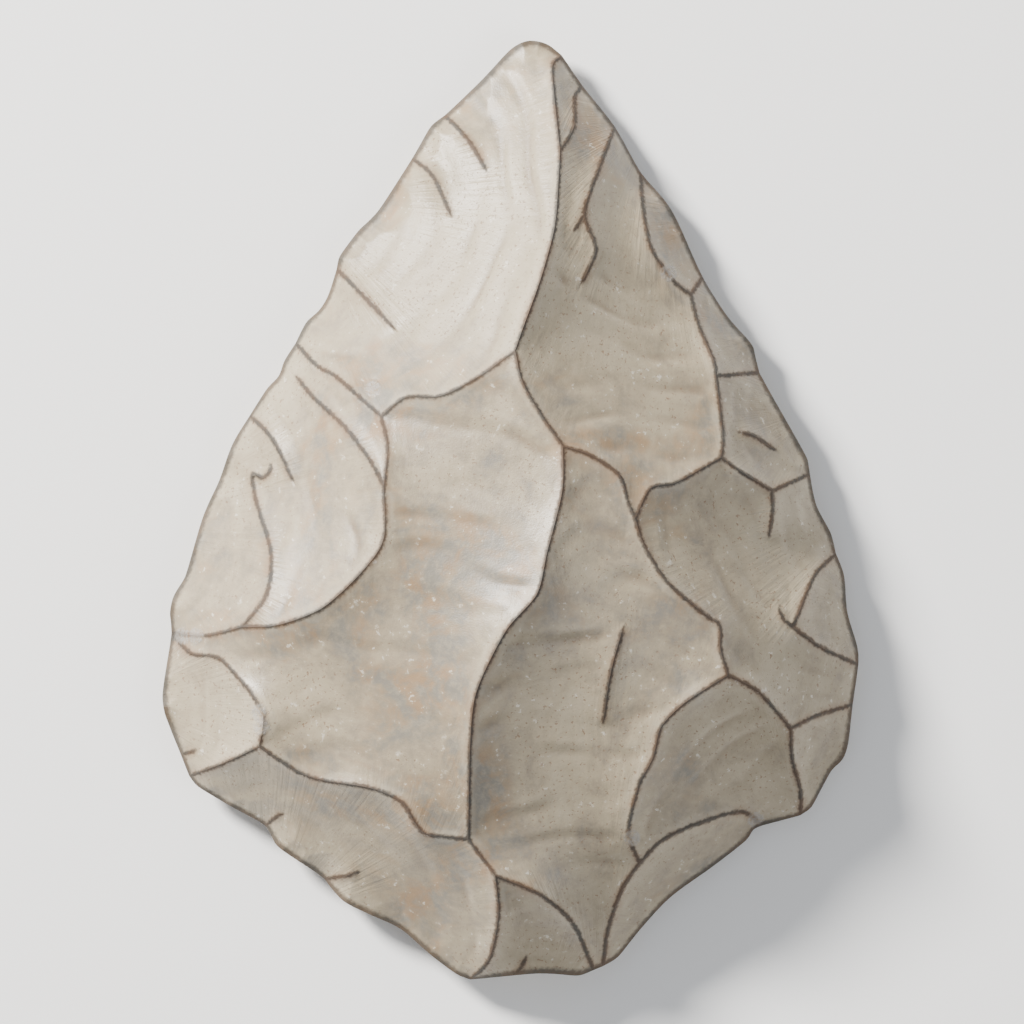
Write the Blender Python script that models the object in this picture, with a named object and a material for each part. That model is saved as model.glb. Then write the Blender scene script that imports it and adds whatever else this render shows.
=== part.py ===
# A stone side scraper: one thick, pointed oval flake of flint, worked all over its upper face.
# Metres, +Z up. It lies on its plain face. The tip points along +Y, and X runs across it.
import math

import bpy
import numpy as np
from mathutils import Vector
from mathutils.geometry import delaunay_2d_cdt

# Driving sizes
LENGTH = 0.094
WIDTH = 0.0697
THICKNESS = 0.0228
EDGE_LEVEL = 0.0034  # the chipped edge, above the surface that the flake lies on
BUTT_EDGE_LEVEL = 0.0060  # the same where the edge crosses the butt
EDGE_SWAY = 0.0006  # how far the edge line rises and falls on its way round
EDGE_WAVES = ((3, 1.0, 0.8), (8, 0.6, 0.0), (17, 0.4, 2.0))  # waves in a round, their strength and start
DORSAL_RUN = 0.0150  # distance from the edge in which the worked face gains most of its height
VENTRAL_RUN = 0.0200  # distance from the edge in which the plain face comes down to the surface
VENTRAL_HOLLOW = 0.0006  # how far the middle of the plain face stays off the surface
HOLLOW_RUN = 0.5  # run in which that hollow comes in, as a share of VENTRAL_RUN
BULB_SPOT_LENGTH = 0.0062  # the small flat spot on the bulb, along the flake
BULB_SPOT_WIDTH = 0.0088
SPOT_MARGIN = 2  # how far the slope round the flat spot reaches, in radii of the spot
SPOT_EASE = 0.25  # how steeply that slope leaves the spot: the smaller, the steeper
SPOT_CORNERS = 12
BUTT_START = 0.4  # the butt lies below this share of the length, counted down from the middle
BUTT_ROUNDING = 1.5

# How finely each face is divided
DORSAL_TRIANGLES = 6300
VENTRAL_TRIANGLES = 2000
LINE_GAP = 0.62  # clear space beside each line, as a share of the net's spacing
RIM_GAP = 0.6
EVEN_ROUNDS = 4
CURVE_STEP = 0.05  # between the points that a curve is measured by, as a share of the way to the next stop
SAME_PLACE = 1e-6  # places nearer than this are one vertex

# How a scar is hollowed
STRUCK_REACH = 0.30  # size of the hollow under a blow, as a share of the scar's size
STRUCK_DEPTH = 2.2  # how much stronger the hollow is under a blow
SHEET_LOAD = 8  # load that hollows a sheet of unit area by about one unit
SPUR_LEAN = 0.7  # under 1, a spur is highest nearer to its start
BEND_REACH = 0.10  # how far the sharp corners of a scar's rim are evened out, as a share of its size
CURVE_TENSION = 0.85

FLINT_COLOUR = (0.62, 0.57, 0.47, 1.0)
FLINT_ROUGHNESS = 0.42
SHARP_FROM = math.radians(14)

# Every place, crest and depth below is in thousandths of the flake's length. A place counts from the
# middle of the outline: across to the right, then towards the tip.

# The chipped outline, clockwise from the tip. The named corners are where ridges run out at the edge.
OUTLINE = (
    ("tip", 20, 501), ("", 41, 496), ("r1", 54, 485), ("r2", 76, 453), ("r3", 111, 409),
    ("r4", 139, 360), ("", 172, 320), ("r5", 205, 249), ("", 233, 205), ("", 260, 174),
    ("r6", 266, 147), ("", 318, 54), ("r7", 320, 39), ("", 327, 5), ("", 343, -25),
    ("r8", 348, -46), ("", 357, -69), ("", 360, -108), ("", 371, -145), ("r9", 372, -165),
    ("r10", 366, -207), ("", 361, -251), ("", 356, -266), ("", 344, -276), ("", 321, -318),
    ("r11", 310, -325), ("r12", 269, -336), ("", 259, -340), ("", 254, -350), ("", 217, -379),
    ("", 171, -412), ("", 138, -447), ("", 113, -478),
    ("b1", 98, -486), ("b2", 88, -490), ("", 74, -496), ("", 30, -493), ("b3", -44, -500),
    ("", -56, -496), ("", -86, -474), ("", -118, -446), ("", -144, -434), ("", -181, -416),
    ("l1", -200, -393), ("", -209, -386), ("", -252, -357), ("", -262, -337), ("", -303, -314),
    ("", -338, -293), ("l2", -345, -283), ("", -354, -260), ("", -367, -228), ("", -374, -200),
    ("l3", -364, -131), ("", -366, -110), ("", -361, -89), ("", -350, -73), ("", -330, -6),
    ("", -313, 31), ("", -299, 70), ("l4", -280, 101), ("", -260, 132), ("", -248, 143),
    ("", -244, 158), ("l5", -231, 178), ("", -219, 202), ("", -206, 212), ("", -197, 226),
    ("l6", -187, 257), ("", -185, 269), ("", -162, 300), ("", -144, 317), ("l7", -106, 375),
    ("", -85, 411), ("l8", -71, 421), ("", -29, 461), ("", 0, 492),
)

# Where ridges of the worked face meet: the place, and the lift over the dome as a share of its height
DORSAL_JUNCTIONS = {
    "keel_top": (52, 382, 0.03), "keel_foot": (4, 169, 0.04), "crown": (55, 68, 0.07),
    "saddle": (132, -9, 0.05), "chip_foot": (192, 230, 0.03), "rim_1": (219, 143, 0.05),
    "rim_2": (224, 56, 0.04), "rim_3": (279, 21, 0.02), "hip": (231, -175, 0.04),
    "hip_rim": (299, -232, 0.03), "cheek_rim": (301, -124, 0.03), "left_fork": (-139, 100, 0.06),
    "left_crest": (-136, 26, 0.06), "left_rim": (-288, -124, 0.03), "heel_bend": (-279, -192, -0.01),
    "heel_rim": (-269, -251, 0.06), "heel_crest": (-46, -349, 0.03), "heel_fork": (-17, -388, 0.01),
    "butt_rim": (137, -375, 0.06),
}

# Ridges between scars, each from one named place to the next by way of a few points
DORSAL_RIDGES = (
    ("r1", (44, 474), (46, 440), "keel_top"),
    ("keel_top", (50, 345), (46, 300), (31, 245), (13, 195), "keel_foot"),
    ("r2", (68, 440), (67, 408), "keel_top"),
    ("r4", (141, 322), (150, 278), (173, 245), "chip_foot"),
    ("chip_foot", "r5"),
    ("chip_foot", (200, 198), (216, 160), "rim_1"),
    ("rim_1", (226, 80), "rim_2"),
    ("rim_1", "r6"),
    ("rim_2", (206, 46), (175, 29), (148, 23), "saddle"),
    ("keel_foot", (12, 136), (34, 98), "crown"),
    ("crown", (85, 58), (115, 37), (125, 8), "saddle"),
    ("rim_2", (250, 38), "rim_3"),
    ("rim_3", "r7"),
    ("saddle", (142, -38), (167, -77), (207, -111), (222, -122), (223, -147), "hip"),
    ("hip", (263, -192), "hip_rim"),
    ("hip_rim", (328, -218), "r10"),
    ("hip_rim", (300, -262), (309, -297), "r11"),
    ("hip", (206, -190), (180, -208), (159, -231), (151, -262), (136, -292), (125, -340), "butt_rim"),
    ("b1", (103, -448), (118, -403), "butt_rim"),
    ("butt_rim", (161, -351), (200, -333), (246, -321), "r12"),
    ("r8", (324, -70), "cheek_rim"),
    ("cheek_rim", (330, -145), "r9"),
    ("l5", (-208, 154), (-186, 141), "left_fork"),
    ("left_fork", (-112, 120), (-76, 121), (-36, 141), "keel_foot"),
    ("left_fork", (-132, 66), "left_crest"),
    ("left_crest", (-136, -30), (-160, -66), (-202, -104), (-250, -122), "left_rim"),
    ("left_rim", (-325, -133), "l3"),
    ("l3", (-343, -152), (-312, -158), "heel_bend"),
    ("heel_bend", (-265, -219), "heel_rim"),
    ("heel_rim", (-305, -268), "l2"),
    ("heel_rim", (-228, -278), (-200, -287), (-150, -295), (-117, -310), (-94, -342), "heel_crest"),
    ("crown", (54, 20), (38, -45), (27, -89), (-6, -128), (-37, -192), (-44, -250), "heel_crest"),
    ("heel_crest", "heel_fork"),
    ("heel_fork", (-14, -432), (-24, -478), "b3"),
    ("heel_fork", (30, -408), (66, -440), "b2"),
)

# Ridges that die out inside a scar: their points, and how high the crest stands over the scar
DORSAL_SPURS = (
    (("r3", (92, 360), (78, 315), (90, 277), (72, 235)), 13),
    (("rim_3", (279, -3), (274, -34)), 7),
    (("left_crest", (-150, 52), (-176, 87), (-212, 121), (-234, 147)), 12),
    (("left_rim", (-262, -90), (-257, -45), (-273, 10), (-277, 38)), 16),
    (("l4", (-255, 75), (-231, 26)), 14),
    (("l6", (-159, 229), (-121, 189)), 12),
    (("l7", (-84, 356), (-62, 308)), 12),
    (("l8", (-45, 393), (-24, 357)), 11),
    (("l1", (-177, -389), (-158, -383)), 6),
    (((121, -118), (106, -172), (97, -231)), 10),
    (((237, 84), (258, 80), (287, 61)), 8),
)

# Scars of the worked face: a place inside, the depth of the hollow, and where on the edge it was struck
DORSAL_SCARS = (
    ((-60, 300), 15, ((-212, 208), (-152, 312), (-90, 398), (-22, 468))),
    ((59, 428), 8, ((67, 469),)),
    ((130, 170), 17, ((95, 430), (125, 385))),
    ((168, 296), 11, ((185, 295),)),
    ((230, 185), 12, ((251, 186),)),
    ((262, 110), 14, ((292, 100),)),
    ((230, -40), 18, ((335, -10),)),
    ((340, -105), 8, ((360, -108),)),
    ((332, -250), 9, ((358, -258),)),
    ((220, -260), 15, ((289, -332),)),
    ((185, -375), 13, ((184, -402),)),
    ((60, -200), 23, ()),
    ((25, -450), 9, ((30, -493),)),
    ((-150, -370), 16, ((-100, -459), (-228, -376), (-305, -313))),
    ((-320, -210), 11, ((-373, -190),)),
    ((-80, -100), 23, ()),
    ((-300, -60), 16, ((-338, -33), (-258, 136))),
)

# The plain face: the lower rim of the struck butt, and the ridges and scars of a few thinning flakes
VENTRAL_JUNCTIONS = {
    "platform_rim": (28, -468), "left_hollow": (-196, -205), "right_hollow": (158, 40),
    "tip_hollow": (22, 322),
}
VENTRAL_RIDGES = (
    ("b1", (68, -472), "platform_rim"),
    ("platform_rim", (-12, -474), "b3"),
    ("l1", (-168, -322), "left_hollow"),
    ("left_hollow", (-262, -138), "l3"),
    ("r6", (192, 128), "right_hollow"),
    ("right_hollow", (206, -44), "r8"),
    ("r4", (84, 318), "tip_hollow"),
    ("tip_hollow", (-44, 340), "l7"),
)
VENTRAL_SCARS = (
    ((30, -484), 2, ((30, -493),)),
    ((-290, -240), 11, ((-338, -293),)),
    ((250, 50), 10, ((318, 54),)),
    ((20, 430), 8, ((60, 478),)),
)
BULB_SPOT = (8, -248)

# Thousandths to metres
SPAN_ACROSS = max(u for _, u, _ in OUTLINE) - min(u for _, u, _ in OUTLINE)
SPAN_ALONG = max(v for _, _, v in OUTLINE) - min(v for _, _, v in OUTLINE)
UNIT = np.array((WIDTH / SPAN_ACROSS, LENGTH / SPAN_ALONG))
UNIT_UP = LENGTH / SPAN_ALONG


def named_places(junctions):
    """The plan position of each named corner of the outline and each junction."""
    places = {name: UNIT * (u, v) for name, u, v in OUTLINE if name}
    places.update({name: UNIT * row[:2] for name, row in junctions.items()})
    return places


# Curves

def curve_point(before, start, end, after, share):
    """A point between start and end, on a cubic that follows the neighbours on either side."""
    leave = CURVE_TENSION * (end - before) / 2
    arrive = CURVE_TENSION * (after - start) / 2
    return ((2 * share**3 - 3 * share**2 + 1) * start + (share**3 - 2 * share**2 + share) * leave
            + (3 * share**2 - 2 * share**3) * end + (share**3 - share**2) * arrive)


def smooth_path(points, step):
    """Points a step apart on an open curve through the points given."""
    ends = [2 * points[0] - points[1], *points, 2 * points[-1] - points[-2]]
    dense = []
    for before, start, end, after in zip(ends, ends[1:], ends[2:], ends[3:]):
        dense += [curve_point(before, start, end, after, share) for share in np.arange(0.0, 1.0, CURVE_STEP)]
    dense = np.array([*dense, points[-1]])
    travelled = np.concatenate(([0.0], np.cumsum(np.linalg.norm(np.diff(dense, axis=0), axis=1))))
    stops = np.linspace(0.0, travelled[-1], max(2, round(travelled[-1] / step) + 1))
    return np.column_stack([np.interp(stops, travelled, dense[:, axis]) for axis in (0, 1)])


def outline_path(step):
    """Points about a step apart round the outline, with each of its corners among them."""
    corners = [UNIT * (u, v) for _, u, v in OUTLINE]
    count = len(corners)
    path = []
    for index in range(count):
        before, start, end, after = (corners[(index + shift) % count] for shift in (-1, 0, 1, 2))
        pieces = max(1, round(np.linalg.norm(end - start) / step))
        path += [curve_point(before, start, end, after, piece / pieces) for piece in range(pieces)]
    return np.array(path)


# Measures against the outline

def outline_area():
    x, y = np.array([UNIT * (u, v) for _, u, v in OUTLINE]).T
    return abs(x @ np.roll(y, -1) - y @ np.roll(x, -1)) / 2


def step_for(triangles):
    """The spacing at which a triangular grid fills the outline with about so many triangles."""
    return math.sqrt(4 / math.sqrt(3) * outline_area() / triangles)


def distance_to_outline(points, outline):
    """How far each point is from the outline, and which outline point is nearest."""
    along = np.roll(outline, -1, axis=0) - outline
    offset = points[:, None] - outline[None]
    share = np.clip((offset * along).sum(2) / (along**2).sum(1), 0, 1)
    distance = np.linalg.norm(offset - share[..., None] * along, axis=2)
    return distance.min(1), distance.argmin(1)


def inside_outline(points, outline):
    """Whether each point lies inside, by counting the outline's crossings to its right."""
    x, y = points[:, :1], points[:, 1:]
    x0, y0 = outline.T
    x1, y1 = np.roll(outline, -1, axis=0).T
    spans = (y0 > y) != (y1 > y)
    rise = np.where(y1 == y0, 1.0, y1 - y0)
    return (spans & (x < (x1 - x0) * (y - y0) / rise + x0)).sum(1) % 2 == 1


# The net of triangles over the plan

def grid_points(fixed, outline, step):
    """A triangular grid inside the outline, kept clear of the points that are already there."""
    reach = np.abs(outline).max() + step
    rows = np.arange(-reach, reach, step * math.sqrt(3) / 2)
    columns = np.arange(-reach, reach, step)
    grid = np.array([(x + step / 2 * (i % 2), y) for i, y in enumerate(rows) for x in columns])
    grid = grid[inside_outline(grid, outline)]
    clear = np.linalg.norm(grid[:, None] - fixed[None], axis=2).min(1) > step * LINE_GAP
    return grid[clear & (distance_to_outline(grid, outline)[0] > step * RIM_GAP)]


def shared_vertex(vertices, place):
    """The vertex that is already at a place, or a new one there."""
    gaps = np.linalg.norm(np.array(vertices) - place, axis=1)
    if gaps.min() < SAME_PLACE:
        return int(gaps.argmin())
    vertices.append(place)
    return len(vertices) - 1


def even_out(net, faces, loose):
    """Moves each loose vertex to the middle of its neighbours, a few times over."""
    for _ in range(EVEN_ROUNDS):
        totals = np.zeros_like(net)
        counts = np.zeros(len(net))
        for start, end in ((0, 1), (1, 2), (2, 0), (1, 0), (2, 1), (0, 2)):
            np.add.at(totals, faces[:, start], net[faces[:, end]])
            np.add.at(counts, faces[:, start], 1)
        net[loose] = totals[loose] / counts[loose, None]


def plan_net(outline, places, lines, line_step, step):
    """Vertices, triangles whose sides follow every line, and the vertices along each line and the rim."""
    vertices = [*outline]
    pairs = [(i, (i + 1) % len(outline)) for i in range(len(outline))]
    paths = []
    for line in lines:
        stops = [places[stop] if isinstance(stop, str) else UNIT * stop for stop in line]
        samples = smooth_path(stops, line_step)
        path = [shared_vertex(vertices, samples[0])]
        path += range(len(vertices), len(vertices) + len(samples) - 2)
        vertices += [*samples[1:-1]]
        path.append(shared_vertex(vertices, samples[-1]))
        pairs += [*zip(path, path[1:])]
        paths.append(path)
    fixed_count = len(vertices)
    vertices += [*grid_points(np.array(vertices), outline, step)]
    flat = [Vector((float(x), float(y))) for x, y in vertices]
    net, _, faces, origins, _, _ = delaunay_2d_cdt(flat, pairs, [], 1, 1e-8)
    net, faces = np.array([tuple(place) for place in net]), np.array(faces)
    new_index = {old: new for new, olds in enumerate(origins) for old in olds}
    fixed = [new_index[i] for i in range(fixed_count)]
    even_out(net, faces, np.setdiff1d(np.arange(len(net)), fixed))
    return net, faces, [[new_index[i] for i in path] for path in paths], fixed[:len(outline)]


# Scars

def scar_triangles(net, faces, ridges, inside):
    """The triangles that can be reached from a place without crossing a ridge."""
    walls = {frozenset(pair) for path in ridges for pair in zip(path, path[1:])}
    sides = [[frozenset(map(int, pair)) for pair in zip(face, np.roll(face, -1))] for face in faces]
    owners = {}
    for index, face_sides in enumerate(sides):
        for side in face_sides:
            owners.setdefault(side, []).append(index)
    first = int(np.linalg.norm(net[faces].mean(1) - UNIT * inside, axis=1).argmin())
    reached = {first}
    waiting = [first]
    while waiting:
        for side in sides[waiting.pop()]:
            fresh = [i for i in owners[side] if side not in walls and i not in reached]
            reached.update(fresh)
            waiting += fresh
    return faces[sorted(reached)]


def stretch_scar(net, height, faces, held, depth, struck):
    """Sets the heights in a scar as a stiff sheet, held on its rim and hollowed most where it was struck."""
    everything = np.unique(faces)
    rows = np.searchsorted(everything, faces)
    inner = np.array([i for i, vertex in enumerate(everything) if vertex not in held], int)
    if not len(inner):
        return
    corners = net[faces]
    across, along = corners[:, 1] - corners[:, 0], corners[:, 2] - corners[:, 0]
    areas = np.abs(across[:, 0] * along[:, 1] - across[:, 1] * along[:, 0]) / 2
    opposite = np.roll(corners, -1, axis=1) - np.roll(corners, 1, axis=1)
    scar_area = areas.sum()
    centres = corners.mean(1)
    blows = np.zeros(len(faces))
    for place in struck:
        gap = np.linalg.norm(centres - UNIT * place, axis=1)
        blows += np.exp(-(gap / STRUCK_REACH)**2 / scar_area)
    pull = SHEET_LOAD * depth / scar_area * (1 + STRUCK_DEPTH * blows) * areas / 3
    stretch = np.zeros((len(everything), len(everything)))
    load = np.zeros(len(everything))
    vertex_area = np.zeros(len(everything))
    for corner in range(3):
        np.add.at(load, rows[:, corner], -pull)
        np.add.at(vertex_area, rows[:, corner], areas / 3)
        for other in range(3):
            share = (opposite[:, corner] * opposite[:, other]).sum(1) / (4 * areas)
            np.add.at(stretch, (rows[:, corner], rows[:, other]), share)
    bend = stretch[:, inner] / vertex_area[inner] @ stretch[inner]
    stiffness = stretch + BEND_REACH**2 * scar_area * bend
    outer = np.setdiff1d(np.arange(len(everything)), inner)
    right = load[inner] - stiffness[np.ix_(inner, outer)] @ height[everything[outer]]
    height[everything[inner]] = np.linalg.solve(stiffness[np.ix_(inner, inner)], right)


# Heights

def edge_levels(outline):
    """Each outline point's level on the plain face's curve, and on the edge, which is higher at the butt."""
    angle = np.arctan2(outline[:, 1], outline[:, 0])
    sway = sum(strength * np.sin(waves * angle + start) for waves, strength, start in EDGE_WAVES)
    plain = EDGE_LEVEL + EDGE_SWAY * sway / sum(strength for _, strength, _ in EDGE_WAVES)
    places = named_places({})
    left, right = places["b3"], places["b1"]
    across = np.clip((outline[:, 0] - left[0]) / (right[0] - left[0]), 0, 1)
    at_butt = outline[:, 1] < -BUTT_START * LENGTH
    return plain, plain + (BUTT_EDGE_LEVEL - EDGE_LEVEL) * np.sin(math.pi * across)**BUTT_ROUNDING * at_butt


def dome_share(points, outline, levels):
    """The dome's height at each point as a share, and what is left there of the edge's own sway."""
    distance, nearest = distance_to_outline(points, outline)
    share = 1 - np.exp(-distance / DORSAL_RUN)
    return share, (levels[nearest] - EDGE_LEVEL) * (1 - share)**2


def bulb_spot_radii():
    return np.array((BULB_SPOT_WIDTH, BULB_SPOT_LENGTH)) / 2


def plain_height(points, outline, levels):
    """The plain face's height: down from the edge, flat on the bulb's spot, a little raised in the middle."""
    distance, nearest = distance_to_outline(points, outline)
    down = levels[nearest] * np.clip(1 - distance / VENTRAL_RUN, 0, 1)**2
    inner = np.clip((distance - VENTRAL_RUN) / (HOLLOW_RUN * VENTRAL_RUN), 0, 1)
    gap = np.linalg.norm((points - UNIT * BULB_SPOT) / bulb_spot_radii(), axis=1)
    off_spot = np.clip((gap - 1) / SPOT_MARGIN, 0, 1)
    return down * off_spot**SPOT_EASE + VENTRAL_HOLLOW * inner**2 * (3 - 2 * inner) * off_spot


def worked_face(outline, levels):
    """The upper face: ridges on a dome, hollow scars between them, and spurs that rise inside some scars."""
    lines = [*DORSAL_RIDGES, *[line for line, _ in DORSAL_SPURS]]
    step = step_for(DORSAL_TRIANGLES)
    net, faces, paths, rim = plan_net(outline, named_places(DORSAL_JUNCTIONS), lines, step, step)
    ridges, spurs = paths[:len(DORSAL_RIDGES)], paths[len(DORSAL_RIDGES):]
    share, sway = dome_share(net, outline, levels)
    crest = {}
    lifts = {name: lift for name, (_, _, lift) in DORSAL_JUNCTIONS.items()}
    for line, path in zip(DORSAL_RIDGES, ridges):
        first, last = lifts.get(line[0], 0.0), lifts.get(line[-1], 0.0)
        for part_way, vertex in zip(np.linspace(0, 1, len(path)), path):
            crest[vertex] = share[vertex] + first + (last - first) * part_way
    dome = (THICKNESS - EDGE_LEVEL) / max(crest.values())
    height = np.zeros(len(net))
    for vertex, value in crest.items():
        height[vertex] = EDGE_LEVEL + sway[vertex] + dome * value
    height[rim] = levels
    held = {*crest, *rim}
    scars = [(scar_triangles(net, faces, ridges, inside), depth * UNIT_UP, struck)
             for inside, depth, struck in DORSAL_SCARS]
    for scar, depth, struck in scars:
        stretch_scar(net, height, scar, held, depth, struck)
    for (_, spur_crest), path in zip(DORSAL_SPURS, spurs):
        for part_way, vertex in list(zip(np.linspace(0, 1, len(path)), path))[1:-1]:
            height[vertex] += spur_crest * UNIT_UP * math.sin(math.pi * part_way**SPUR_LEAN)
            held.add(vertex)
    for scar, depth, struck in scars:
        stretch_scar(net, height, scar, held, depth, struck)
    return net, faces, height, rim


def plain_face(outline, plain_levels, levels):
    """The lower face: its slow curve, with the flat spot of the bulb, the butt and a few shallow scars."""
    turns = np.linspace(0, 2 * math.pi, SPOT_CORNERS + 1)
    spot = BULB_SPOT + np.column_stack((np.cos(turns), np.sin(turns))) * bulb_spot_radii() / UNIT
    half = SPOT_CORNERS // 2
    lines = [*VENTRAL_RIDGES, [*spot[:half + 1]], [*spot[half:]]]
    net, faces, paths, rim = plan_net(outline, named_places(VENTRAL_JUNCTIONS), lines,
                                      step_for(DORSAL_TRIANGLES), step_for(VENTRAL_TRIANGLES))
    ridges = paths[:len(VENTRAL_RIDGES)]
    height = plain_height(net, outline, plain_levels)
    height[rim] = levels
    held = {vertex for path in ridges for vertex in path} | {*rim}
    for inside, depth, struck in VENTRAL_SCARS:
        scar = scar_triangles(net, faces, ridges, inside)
        stretch_scar(net, height, scar, held, -depth * UNIT_UP, struck)
    return net, faces, height, rim


def flint():
    material = bpy.data.materials.new("flint")
    material.use_nodes = True
    shader = material.node_tree.nodes["Principled BSDF"]
    shader.inputs["Base Color"].default_value = FLINT_COLOUR
    shader.inputs["Roughness"].default_value = FLINT_ROUGHNESS
    material.diffuse_color = FLINT_COLOUR
    return material


def side_scraper():
    """Both faces in one skin, joined along the chipped edge."""
    outline = outline_path(step_for(DORSAL_TRIANGLES))
    plain_levels, levels = edge_levels(outline)
    upper, upper_faces, upper_height, upper_rim = worked_face(outline, levels)
    lower, lower_faces, lower_height, lower_rim = plain_face(outline, plain_levels, levels)
    vertices = [*np.column_stack((upper, upper_height))]
    joined = dict(zip(lower_rim, upper_rim))
    for i, vertex in enumerate(np.column_stack((lower, lower_height))):
        if i not in joined:
            joined[i] = len(vertices)
            vertices.append(vertex)
    vertices = np.array(vertices)
    low, high = vertices.min(0), vertices.max(0)
    vertices[:, :2] = (vertices[:, :2] - (low + high)[:2] / 2) * (WIDTH, LENGTH) / (high - low)[:2]
    vertices[:, 2] -= low[2]
    faces = [[int(i) for i in face] for face in upper_faces]
    faces += [[joined[int(i)] for i in reversed(face)] for face in lower_faces]
    mesh = bpy.data.meshes.new("side_scraper")
    mesh.from_pydata([tuple(vertex) for vertex in vertices], [], faces)
    mesh.shade_smooth()
    mesh.set_sharp_from_angle(angle=SHARP_FROM)
    mesh.materials.append(flint())
    flake = bpy.data.objects.new("side_scraper", mesh)
    bpy.context.scene.collection.objects.link(flake)


for leftover in list(bpy.data.objects):
    bpy.data.objects.remove(leftover)
side_scraper()
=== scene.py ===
# A side scraper of patinated flint, lying on its plain face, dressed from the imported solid
import math
import random

import bmesh
import bpy
import numpy as np
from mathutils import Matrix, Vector, kdtree, noise


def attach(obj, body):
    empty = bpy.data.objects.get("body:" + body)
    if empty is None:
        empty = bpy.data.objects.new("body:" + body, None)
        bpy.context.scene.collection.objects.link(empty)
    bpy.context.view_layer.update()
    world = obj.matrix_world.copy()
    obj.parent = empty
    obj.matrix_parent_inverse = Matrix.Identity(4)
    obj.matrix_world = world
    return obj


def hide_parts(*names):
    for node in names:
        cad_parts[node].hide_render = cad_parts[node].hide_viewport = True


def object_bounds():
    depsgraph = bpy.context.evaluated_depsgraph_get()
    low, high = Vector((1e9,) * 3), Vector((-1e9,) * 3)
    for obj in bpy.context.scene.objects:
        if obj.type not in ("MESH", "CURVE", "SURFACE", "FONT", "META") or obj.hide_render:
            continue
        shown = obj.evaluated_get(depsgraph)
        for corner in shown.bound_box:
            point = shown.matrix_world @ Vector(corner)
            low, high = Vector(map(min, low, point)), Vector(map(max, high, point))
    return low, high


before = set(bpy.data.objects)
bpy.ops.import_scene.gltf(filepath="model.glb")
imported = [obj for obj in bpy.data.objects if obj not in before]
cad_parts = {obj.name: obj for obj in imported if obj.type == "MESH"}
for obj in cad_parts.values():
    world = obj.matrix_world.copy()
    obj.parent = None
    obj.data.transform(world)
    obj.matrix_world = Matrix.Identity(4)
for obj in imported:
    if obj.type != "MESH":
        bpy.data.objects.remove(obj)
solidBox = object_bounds()
solidLow, solidHigh = solidBox
millimetre = 0.001
tiny = 1e-12  # keeps a division from zero
print("stage 1: the solid is loaded", [round(side / millimetre, 1) for side in solidHigh - solidLow])

# The drawing's own extent, in thousandths of the flake's length from the middle: across, then to the tip
drawing = dict(left=-374, right=372, foot=-500, tip=501)

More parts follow.
